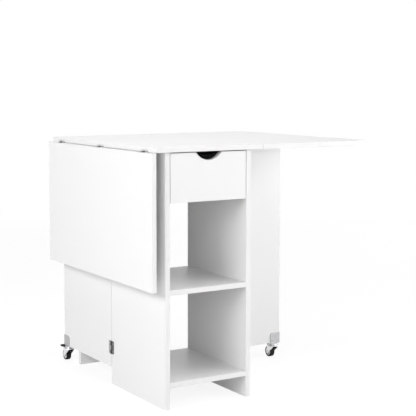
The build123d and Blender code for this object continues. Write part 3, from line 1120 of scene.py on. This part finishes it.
@dataclass
class Castor:
    """One castor: race, kingpin, fork, axle, wheel and brake pedal.

    The race's edge is given from top to bottom, as millimetres in from its rim and as
    shares of its height. Its slot lies over the balls.
    """

    side: Side
    sheet: float = 1.6 * MM
    race_edge: tuple[Point, ...] = (
        (0.4, 1.0),
        (0.0, 0.92),
        (0.3, 0.62),
        (0.8, 0.55),
        (2.0, 0.52),
        (2.0, 0.44),
        (1.1, 0.42),
        (1.0, 0.32),
        (1.5, 0.05),
        (1.9, 0.0),
    )
    crown_step: float = 15.0 * MM
    crown_shoulder: float = 0.7 * MM
    crown_roll: float = 2.1 * MM
    flare_depth: float = 4.4 * MM
    flare_power: int = 3
    bead: float = 0.6 * MM
    bead_width: float = 0.30
    bead_low: float = 21.0 * MM
    bead_high: float = 35.5 * MM
    bead_onset: float = 8.0
    shank: float = 4.0 * MM
    kingpin_dome: float = 1.5 * MM
    play: float = 0.1 * MM
    edge: float = 0.4 * MM
    axle_radius: float = 2.5 * MM
    axle_head: float = 4.5 * MM
    pin_chamfer: float = 0.3
    web: float = 5.0 * MM
    rim_width: float = 1.8 * MM
    rim_inset: float = 1.0 * MM
    boss: float = 5.0 * MM
    spokes: int = 6
    spoke_width: float = 1.1 * MM
    shoulder: float = 2.6 * MM
    groove: float = 0.25 * MM
    lever_half: float = 9.0 * MM
    lever_slope: float = 0.13
    lever_nose: float = 14.0 * MM
    lever_step: float = 0.9 * MM
    pedal_sheet: float = 2.5 * MM
    pedal_eye: float = 2.7 * MM
    pedal_soft: float = 0.6 * MM
    pedal_rounding: float = 0.25 * MM
    pedal_setback: float = 0.05 * MM
    tread_slope: float = 0.21
    tread_start: float = 23.5 * MM
    tread_lead: float = 1.0 * MM
    tread_lag: float = 0.35
    tread_corner: float = 4.0 * MM
    rib_height: float = 0.5 * MM
    rib_pitch: float = 2.4 * MM
    rib_inset: float = 2.4 * MM
    rib_ramp: float = 0.36 * MM
    rib_crest: float = 1.4
    rib_level: float = 0.4
    rib_steps: int = 8
    steps: int = 64
    leg_steps: int = 18
    crown_steps: int = 12
    flare_steps: int = 8
    straight_steps: int = 14
    curve_steps: int = 8
    roll_steps: int = 6
    soft_steps: int = 3
    eye_angles: tuple[float, ...] = (10, 20, 30, 40, 50, 60, 70, 80, 88)
    zinc: SteelFinish = SteelFinish(level=0.74, mottle=0.10, roughness=0.30)
    rivet: SteelFinish = SteelFinish(level=0.55, roughness=0.30, mottle_pitch=1.5 * MM)
    hub_plastic: PlasticFinish = PlasticFinish(level=0.80, warmth=0.01)
    pedal_plastic: PlasticFinish = PlasticFinish(level=0.005, roughness=0.46, shine=0.1)

    def __post_init__(self) -> None:
        """Reads the castor's places and main sizes from its joints and CAD nodes."""
        joints = ("castor_swivel", "wheel_spin", "brake_press")
        swivel, axle, pedal = (joint_place(f"{self.side.value}_{name}") for name in joints)
        self.upright = Matrix.Translation((swivel.x, swivel.y, 0))
        self.at_axle, self.at_pedal = axes_at(axle, Y, X), axes_at(pedal, Y, X)
        self.trail, self.axle_height = axle.y - swivel.y, axle.z
        self.pedal_depth, self.pedal_height = pedal.y - swivel.y, pedal.z
        low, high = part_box(self.node(Part.FORK))
        self.crown_radius, self.crown_top = (high.x - low.x) / 2, high.z
        self.rim = self.crown_top - self.crown_shoulder - self.crown_roll
        self.eye = self.axle_height - low.z
        low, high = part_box(self.node(Part.PEDAL))
        self.tread_half, self.pedal_end = (high.x - low.x) / 2, high.y - swivel.y
        self.pedal_top = high.z
        pin = self.size(Part.PEDAL_PIN)
        self.leg_outside, self.pedal_pin = pin.x / 2, pin.z / 2
        self.chord = math.sqrt(self.crown_radius**2 - self.leg_outside**2)
        self.rubber = RubberFinish(axle)

    def node(self, part: Part) -> str:
        """The name of this castor's CAD node for a part."""
        return f"{self.side.value}_castor_{part.value[0]}"

    def size(self, part: Part) -> Vector:
        """The size of a part's CAD node."""
        low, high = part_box(self.node(part))
        return high - low

    def give(self, part: Part, shape: Shape, finish: Finish, wall: float = 0.0) -> None:
        """Makes a shape the piece that stands for a part.

        Args:
            part: the part.
            shape: its shape.
            finish: its finish.
            wall: its thickness, where the shape is an open sheet.
        """
        node = self.node(part)
        form, body, slot, material = part.value[1:]
        role = Role(f"{self.side.value}_{body}", slot, node)
        shape.finish(f"{node}_{form}", role, finish.make(f"{node}_{material}"), wall)

    def build(self) -> None:
        """Builds all pieces of the castor."""
        self.build_race()
        self.build_kingpin()
        self.build_fork()
        self.build_axle()
        self.build_pedal_pin()
        self.build_hub()
        self.build_tyre()
        self.build_pedal()

    def build_race(self) -> None:
        """Builds the pressed cup of the swivel race."""
        low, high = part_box(self.node(Part.RACE))
        outer, height, bore = (high.x - low.x) / 2, high.z - low.z, self.shank + self.play / 2
        edge = [(outer - inset * MM, low.z + share * height) for inset, share in self.race_edge]
        profile = [(bore, high.z), *edge, (bore, low.z)]
        self.give(Part.RACE, Shape().revolve(profile, self.steps, self.upright), self.zinc)

    def build_kingpin(self) -> None:
        """Builds the kingpin rivet, with a domed head under the crown."""
        low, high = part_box(self.node(Part.KINGPIN))
        shelf = low.z + self.kingpin_dome
        profile = dome((high.x - low.x) / 2, shelf, -self.kingpin_dome)[::-1]
        profile += [(self.shank, shelf), (self.shank, high.z - self.edge)]
        profile += [(self.shank - self.edge, high.z), (0, high.z)]
        self.give(Part.KINGPIN, Shape().revolve(profile, self.steps, self.upright), self.rivet)

    def leg_edge(self, height: float, sign: int) -> float:
        """The leg's front or rear edge at a height.

        Args:
            height: the height over the floor.
            sign: -1 for the front edge, 1 for the rear one.

        Returns:
            The edge's distance behind the swivel axis.
        """
        centre = Vector((self.trail, self.axle_height))
        start = Vector((sign * self.chord, self.rim))
        reach = start - centre
        turn = Matrix.Rotation(-sign * math.acos(self.eye / reach.length), 2)
        touch = centre + turn @ reach.normalized() * self.eye
        if height > touch.y:
            return start.x + (touch.x - start.x) * (start.y - height) / (start.y - touch.y)
        drop = self.eye**2 - (height - centre.y) ** 2
        return centre.x + sign * math.sqrt(max(0.0, drop))

    def leg_point(self, share: float, height: float, sign: int) -> Vector:
        """A point of a leg's outer face, in the castor's own axes.

        Args:
            share: its place across the leg, from -1 in front to 1 behind.
            height: its height over the floor.
            sign: -1 for the left leg, 1 for the right one.

        Returns:
            The point.
        """
        front, rear = self.leg_edge(height, -1), self.leg_edge(height, 1)
        depth = front + (rear - front) * (share + 1) / 2
        crown = math.sqrt(self.crown_radius**2 - (self.chord * share) ** 2)
        flare = max(0.0, 1 - (self.rim - height) / self.flare_depth) ** self.flare_power
        window = (height - self.bead_low) * (self.bead_high - height)
        rise = clamp(self.bead_onset * window / (self.bead_high - self.bead_low) ** 2)
        swell = self.bead * rise * math.exp(-((share / self.bead_width) ** 2))
        across = self.leg_outside + (crown - self.leg_outside) * flare + swell
        return Vector((sign * across, depth, height))

    def build_fork(self) -> None:
        """Builds the pressed fork: a round crown whose rim runs down into two legs."""
        shape = Shape()
        leg = math.asin(self.chord / self.crown_radius)
        across = spaced(-leg, leg, self.leg_steps)
        between = spaced(leg, math.pi - leg, self.crown_steps)[1:-1]
        turns = across + between + [math.pi - turn for turn in reversed(across)]
        turns += [math.pi + turn for turn in between]
        shoulder = self.crown_top - self.crown_shoulder
        rolled = (self.crown_radius - self.crown_roll, self.rim)
        crown = [(self.shank + self.play, self.crown_top), (2 * self.shank, self.crown_top)]
        crown += [(self.crown_step, self.crown_top), (self.crown_step + self.sheet, shoulder)]
        crown += arc(rolled, self.crown_roll, 90, 0, self.roll_steps)
        rows = [[Vector((r * math.cos(t), r * math.sin(t), z)) for t in turns] for r, z in crown]
        shape.grid(rows, self.upright, closed=True)
        start = self.rim - self.flare_depth
        heights = spaced(self.rim, start, self.flare_steps)[:-1]
        heights += spaced(start, self.axle_height, self.straight_steps)
        for angle in self.eye_angles:
            heights.append(self.axle_height - self.eye * math.sin(math.radians(angle)))
        shares = [math.sin(turn) / math.sin(leg) for turn in across]
        for sign in (-1, 1):
            rows = [[self.leg_point(share, z, sign) for share in shares] for z in heights]
            shape.grid(rows, self.upright)
        self.give(Part.FORK, shape, self.zinc, self.sheet)

    def build_axle(self) -> None:
        """Builds the axle rivet, with a low domed head outside each leg."""
        rise = self.size(Part.AXLE).x / 2 - self.leg_outside
        half = [(self.axle_radius, self.leg_outside), *dome(self.axle_head, self.leg_outside, rise)]
        shape = Shape().revolve(mirrored(half), self.steps, self.at_axle)
        self.give(Part.AXLE, shape, self.rivet)

    def build_pedal_pin(self) -> None:
        """Builds the pin that the pedal turns on, its ends chamfered."""
        edge, end = self.pin_chamfer * self.pedal_pin, self.leg_outside
        half = [(self.pedal_pin, end - edge), (self.pedal_pin - edge, end), (0, end)]
        shape = Shape().revolve(mirrored(half), self.steps // 2, self.at_pedal)
        self.give(Part.PEDAL_PIN, shape, self.rivet)

    def build_hub(self) -> None:
        """Builds the moulded hub: a rim and a boss, joined by a web with ribs."""
        hub = self.size(Part.HUB)
        end, outer, edge = hub.x / 2, hub.y / 2, self.edge
        half = self.size(Part.TYRE).x / 2 - self.rim_inset
        inner, bore = outer - self.rim_width, self.axle_radius + self.play
        side = [(bore, end), (self.boss - edge, end), (self.boss, end - edge)]
        side += [(self.boss + edge, self.web), (inner - edge, self.web), (inner, half - edge)]
        side += [(inner + edge, half), (outer - edge, half), (outer, half - edge)]
        shape = Shape().revolve(mirrored(side), self.steps, self.at_axle)
        thick, reach = self.spoke_width / 2, half - edge
        bar = mirrored([(inner + edge, thick), (self.boss - edge, thick)])
        for spoke in range(self.spokes):
            turn = Matrix.Rotation(math.tau * spoke / self.spokes, 4, Z)
            shape.prism(bar, 2 * reach, self.at_axle @ turn @ Matrix.Translation((0, 0, -reach)))
        self.give(Part.HUB, shape, self.hub_plastic)

    def build_tyre(self) -> None:
        """Builds the rubber tyre, with rounded shoulders and a groove in each side."""
        half, inner = self.size(Part.TYRE).x / 2, self.size(Part.HUB).y / 2
        curve, groove = self.axle_height - self.shoulder, self.groove
        side = [(inner, half - 2 * groove), (inner + 2 * groove, half), (curve - 3 * groove, half)]
        side += [(curve - 2 * groove, half - groove), (curve - groove, half)]
        side += arc((curve, half - self.shoulder), self.shoulder, 90, 0, self.curve_steps)
        shape = Shape().revolve(mirrored(side), self.steps, self.at_axle)
        self.give(Part.TYRE, shape, self.rubber)

    def lever(self, depth: float) -> Point:
        """The pedal's lever, which bulges round its pin, at a distance behind the swivel axis.

        Args:
            depth: that distance.

        Returns:
            The heights of its top and bottom.
        """
        behind = depth - self.pedal_depth
        middle = self.pedal_height + self.lever_slope * behind
        top, bottom = middle + self.pedal_sheet / 2, middle - self.pedal_sheet / 2
        if abs(behind) < self.pedal_eye:
            bulge = math.sqrt(self.pedal_eye**2 - behind**2)
            top = max(top, self.pedal_height + bulge)
            bottom = min(bottom, self.pedal_height - bulge)
        return top, bottom

    def pedal_outline(self, depth: float) -> list[Point]:
        """The outline across the pedal at a distance behind the swivel axis.

        Args:
            depth: that distance.

        Returns:
            Its corners, as distance from the middle and height.
        """
        top, bottom = self.lever(depth)
        tread_top = self.pedal_top - self.rib_height - self.tread_slope * (self.pedal_end - depth)
        tread_bottom = tread_top - self.pedal_sheet + self.rib_height
        rise = clamp((depth - self.crown_radius - self.play) / (self.tread_start - self.crown_radius))
        top += (tread_top - top) * rise
        bottom += (tread_bottom - bottom) * clamp((rise - self.tread_lag) / (1 - self.tread_lag))
        spread = clamp((depth - self.tread_start + self.tread_lead) / self.tread_corner)
        width = self.lever_half + (self.tread_half - self.lever_half) * math.sin(spread * math.pi / 2)
        corner = max(0.0, depth - self.pedal_end + self.tread_corner)
        width -= self.tread_corner - math.sqrt(max(0.0, self.tread_corner**2 - corner**2))
        width -= max(0.0, self.lever_half / 2 - self.lever_nose - depth) ** 2 / self.lever_half
        place = (depth - self.tread_start - self.tread_corner) / self.rib_pitch
        ribbed = spread == 1.0 and place > 0 and depth < self.pedal_end - self.rib_pitch
        ridge = clamp(self.rib_crest * math.cos(math.tau * place) + self.rib_level)
        crest = top + self.rib_height * ribbed * ridge
        soft, foot = self.pedal_soft, width - self.rib_inset
        right = arc((width - soft, bottom + soft), soft, -90, 0, self.soft_steps)
        right += arc((width - soft, top - soft), soft, 0, 90, self.soft_steps)
        right += [(foot, top), (foot - self.rib_ramp, crest)]
        return right + [(-across, z) for across, z in reversed(right)]

    def build_pedal(self) -> None:
        """Builds the moulded brake pedal: a lever over the tyre and a wide ribbed tread."""
        depths, last = [-self.lever_nose], self.pedal_end - self.pedal_setback
        while depths[-1] < last:
            coarse = depths[-1] + self.lever_step
            fine = depths[-1] + self.rib_pitch / self.rib_steps
            depths.append(coarse if coarse <= self.crown_radius else fine)
        depths[-1] = last
        rows = [[Vector((x, y, z)) for x, z in self.pedal_outline(y)] for y in depths]
        shape = Shape()
        shape.grid(rows, self.upright, closed=True, capped=True)
        shape.bevel(self.pedal_rounding)
        self.give(Part.PEDAL, shape, self.pedal_plastic)


@dataclass
class DrawerRunners:
    """The two plastic strips that the drawer slides on, with the screws that hold them."""

    channel_width: float = 8.0 * MM
    channel_depth: float = 1.2 * MM
    rounding: float = 0.8 * MM
    screw_shares: tuple[float, ...] = (0.12, 0.5, 0.88)
    plastic: PlasticFinish = PlasticFinish(level=0.74, warmth=0.01)
    screws: Screws = Screws()

    def build(self) -> None:
        """Builds both strips."""
        for side, out in ((Side.LEFT, X), (Side.RIGHT, -X)):
            node = f"{side.value}_drawer_runner"
            low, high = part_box(node)
            size, middle = high - low, (low + high) / 2
            place = axes_at(Vector((middle.x - out.x * size.x / 2, high.y, middle.z)), out, -Y)
            half, groove, floor = size.z / 2, self.channel_width / 2, size.x - self.channel_depth
            outline = mirrored([(0, half), (size.x, half), (size.x, groove), (floor, groove)])
            shape = Shape()
            shape.prism(outline, size.y, place)
            shape.bevel(self.rounding)
            role = Role("carcass", "runner_plastic", node)
            shape.finish(f"{node}_moulded", role, self.plastic.make(f"{node}_plastic"))
            seats = [(place @ Vector((floor, 0, share * size.y)), out) for share in self.screw_shares]
            self.screws.drive(f"{node}_screws", "carcass", seats)


@dataclass(frozen=True)
class Softbox:
    """A square lamp."""

    name: str
    place: tuple[float, float, float]
    size: float
    power: float

    def hang(self, aim: Vector) -> None:
        """Adds the lamp to the scene.

        Args:
            aim: the point that it faces.
        """
        lamp = bpy.data.lights.new(self.name, "AREA")
        lamp.shape = "SQUARE"
        lamp.size = self.size
        lamp.energy = self.power
        holder = add_object(self.name, lamp)
        holder.location = self.place
        holder.rotation_euler = (aim - holder.location).to_track_quat("-Z", "Y").to_euler()
        log.info("%s: %.0f W", self.name, self.power)


@dataclass
class Studio:
    """The pale studio: floor, surround, lamps and camera."""

    floor_size: float = 60.0
    floor_bounce: float = 0.82
    floor_fill: float = 0.10
    floor_shadow_share: float = 0.18
    floor_glow: float = 0.86
    floor_near: float = 1.6
    floor_far: float = 4.5
    ambient: float = 0.12
    lamps: tuple[Softbox, ...] = (
        Softbox("left_front_softbox", (-2.6, -2.4, 1.5), 1.2, 22.0),
        Softbox("left_low_softbox", (-3.15, -1.25, 1.7), 1.4, 48.5),
        Softbox("left_softbox", (-3.2, 0.4, 2.0), 1.4, 25.0),
        Softbox("right_front_softbox", (2.4, -3.2, 1.8), 2.0, 56.0),
        Softbox("right_low_softbox", (3.5, -2.0, 1.1), 2.0, 68.0),
        Softbox("overhead_softbox", (0.0, -0.3, 3.2), 2.6, 19.0),
        Softbox("rear_high_softbox", (1.3, 2.7, 3.1), 2.4, 33.0),
        Softbox("rear_right_softbox", (3.3, 1.7, 0.9), 1.6, 9.0),
    )
    aim: Vector = Vector((0.0, 0.0, 0.4))
    camera_place: Vector = Vector((-1.86868, -3.034494, 0.939175))
    camera_yaw: float = math.radians(-31.0836)
    camera_pitch: float = math.radians(4.484)
    focal_length: float = 96.45
    shift: Point = (0.04, -0.10)

    def seen(self, graph: Graph) -> Value:
        """1 where a camera, glossy or transmission ray looks, otherwise 0."""
        camera = graph.add("ShaderNodeLightPath", None, None, "Is Camera Ray")
        return camera.most(camera.port("Is Glossy Ray")).most(camera.port("Is Transmission Ray"))

    def glow(self, graph: Graph, strength: float) -> Value:
        """A plain white light."""
        return graph.add("ShaderNodeEmission", None, {"Color": grey(1.0), "Strength": strength})

    def lit(self, graph: Graph, bounce: float, strength: float) -> Value:
        """A dull grey that also gives light."""
        dull = graph.add("ShaderNodeBsdfDiffuse", None, {"Color": grey(bounce)})
        return graph.add("ShaderNodeAddShader", None, {0: dull, 1: self.glow(graph, strength)})

    def build_floor(self) -> None:
        """Lays a white floor that keeps the table's shadow."""
        shape, half = Shape(), self.floor_size / 2
        corners = [[Vector((x, y, 0)) for x in (-half, half)] for y in (-half, half)]
        shape.grid(corners, Matrix.Identity(4))
        mesh = bpy.data.meshes.new("studio_floor")
        shape.mesh.to_mesh(mesh)
        surface = Surface("studio_floor")
        plain = self.lit(surface, self.floor_bounce, self.floor_fill)
        near = self.lit(surface, self.floor_shadow_share, self.floor_glow)
        distance = {"operation": "LENGTH"}
        reach = surface.add("ShaderNodeVectorMath", distance, {0: surface.place}, "Value")
        far = {0: reach.ramp(self.floor_near, self.floor_far), 1: near, 2: self.glow(surface, 1.0)}
        shown = surface.add("ShaderNodeMixShader", None, far)
        either = {0: self.seen(surface), 1: plain, 2: shown}
        shader = surface.add("ShaderNodeMixShader", None, either)
        surface.add("ShaderNodeOutputMaterial", None, {"Surface": shader})
        mesh.materials.append(surface.material)
        add_object("studio_floor", mesh)

    def build_surround(self) -> None:
        """Surrounds the scene with white, which lights it more softly than it shows."""
        world = bpy.data.worlds.new("studio_surround")
        world.use_nodes = True
        graph = Graph(world.node_tree)
        strength = self.ambient + self.seen(graph) * (1.0 - self.ambient)
        light = graph.add("ShaderNodeBackground", None, {"Color": grey(1.0), "Strength": strength})
        graph.add("ShaderNodeOutputWorld", None, {"Surface": light})
        bpy.context.scene.world = world

    def set_camera(self) -> None:
        """Stands the camera at the photograph's place, with its frame slightly shifted."""
        lens = bpy.data.cameras.new("photo_camera")
        lens.lens = self.focal_length
        lens.shift_x, lens.shift_y = self.shift
        camera = add_object("photo_camera", lens)
        camera.location = self.camera_place
        camera.rotation_euler = (math.radians(90) - self.camera_pitch, 0, self.camera_yaw)
        bpy.context.scene.camera = camera
        bpy.context.scene.view_settings.view_transform = "Standard"

    def build(self) -> None:
        """Builds the whole studio."""
        self.build_floor()
        self.build_surround()
        for lamp in self.lamps:
            lamp.hang(self.aim)
        self.set_camera()


def main() -> None:
    """Dresses the table, then builds the studio round it."""
    logging.basicConfig(level=logging.INFO, format="%(name)s %(message)s")
    Boards().dress()
    hinges = Hinges()
    hinges.build()
    HangingEdge().build(hinges)
    for side in Side:
        CastorBracket(side).build()
        Castor(side).build()
    DrawerRunners().build()
    Studio().build()


if __name__ == "__main__":
    main()
